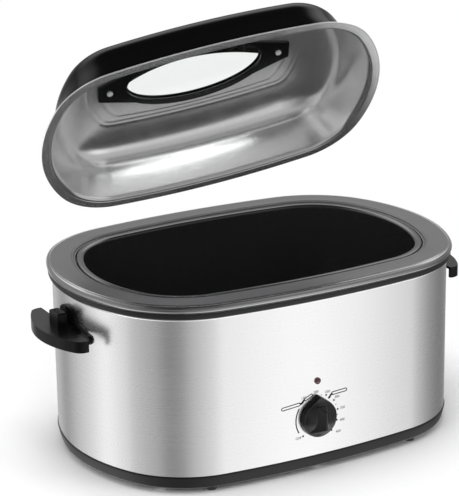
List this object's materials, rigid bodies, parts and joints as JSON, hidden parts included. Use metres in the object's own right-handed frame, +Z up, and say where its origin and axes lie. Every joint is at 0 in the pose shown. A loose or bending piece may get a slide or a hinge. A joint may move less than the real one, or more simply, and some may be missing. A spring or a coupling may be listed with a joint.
{
  "type": "electric roaster oven",
  "caption": "Oval countertop roaster oven: heated steel body, lift-out pan and rack, pointed control knob, and a domed lid with an oval window shown lifted off.",
  "frame": {"origin": "middle of the whole footprint, knob included, on the surface that the feet stand on", "axes": "+X to the right along the length, -Y to the front with the control knob, +Z up"},
  "size_m": [0.6486, 0.4208, 0.6149],
  "materials": {
    "steel": "brushed, horizontal grain",
    "ring_black": "fine moulded texture",
    "foot_black": "moulded",
    "plate_black": "black paint",
    "collar_grey": "satin",
    "liner_steel": "plain rolled",
    "heater": "oxidised",
    "blanket": "glass fibre felt",
    "thermostat_case": "phenolic",
    "bracket_zinc": "plated",
    "shaft_steel": "turned",
    "lens_red": "clear red",
    "terminal_white": "unglazed",
    "handle_black": "satin phenolic",
    "screw_chrome": "bright",
    "knob_black": "gloss",
    "pan_enamel": "black enamel with fine flecks",
    "rack_chrome": "bright",
    "lid_metal": "gloss black enamel outside, satin steel inside",
    "window_clear": "clear",
    "gasket_grey": "silicone",
    "frame_black": "gloss"
  },
  "bodies": {
    "base": {"base_ring": "ring_black", "base_screws": "screw_chrome", "body_shell": "steel", "bottom_plate": "plate_black", "collar": "collar_grey", "cord_gland": "ring_black", "foot_front_left": "foot_black", "foot_front_right": "foot_black", "foot_rear_left": "foot_black", "foot_rear_right": "foot_black", "handle_left": "handle_black", "handle_right": "handle_black", "handle_screws_left": "screw_chrome", "handle_screws_right": "screw_chrome", "heater_band_lower": "heater", "heater_band_upper": "heater", "indicator_lens": "lens_red", "insulation": "blanket", "lamp_housing": "thermostat_case", "liner": "liner_steel", "standoff_front_left": "liner_steel", "standoff_front_right": "liner_steel", "standoff_rear_left": "liner_steel", "standoff_rear_right": "liner_steel", "terminal_block": "terminal_white", "thermostat": "thermostat_case", "thermostat_bracket": "bracket_zinc"},
    "control": {"knob": "knob_black", "thermostat_shaft": "shaft_steel"},
    "pan": {"pan": "pan_enamel"},
    "rack": {"rack_grid": "rack_chrome", "rack_handle_left": "rack_chrome", "rack_handle_right": "rack_chrome"},
    "lid": {"lid_handle": "frame_black", "lid_screws": "screw_chrome", "lid_shell": "lid_metal", "window_bezel": "frame_black", "window_frame": "frame_black", "window_gasket": "gasket_grey", "window_glass": "window_clear"}
  },
  "joints": [
    {"name": "lid_lift", "type": "hinge", "parent": "pan", "child": "lid", "pos_m": [0, 0.19533, 0.3861], "axis": [-0.9519, -0.0422, -0.3034], "range_deg": [-56.47, 0]},
    {"name": "knob_turn", "type": "hinge", "parent": "base", "child": "control", "pos_m": [-0.0095, -0.19157, 0.08], "axis": [0, 1, 0], "range_deg": [-135, 120]},
    {"name": "pan_lift", "type": "slide", "parent": "base", "child": "pan", "axis": [0, 0, 1], "range_m": [0, 0.2]},
    {"name": "rack_lift", "type": "slide", "parent": "pan", "child": "rack", "axis": [0, 0, 1], "range_m": [0, 0.09]}
  ]
}
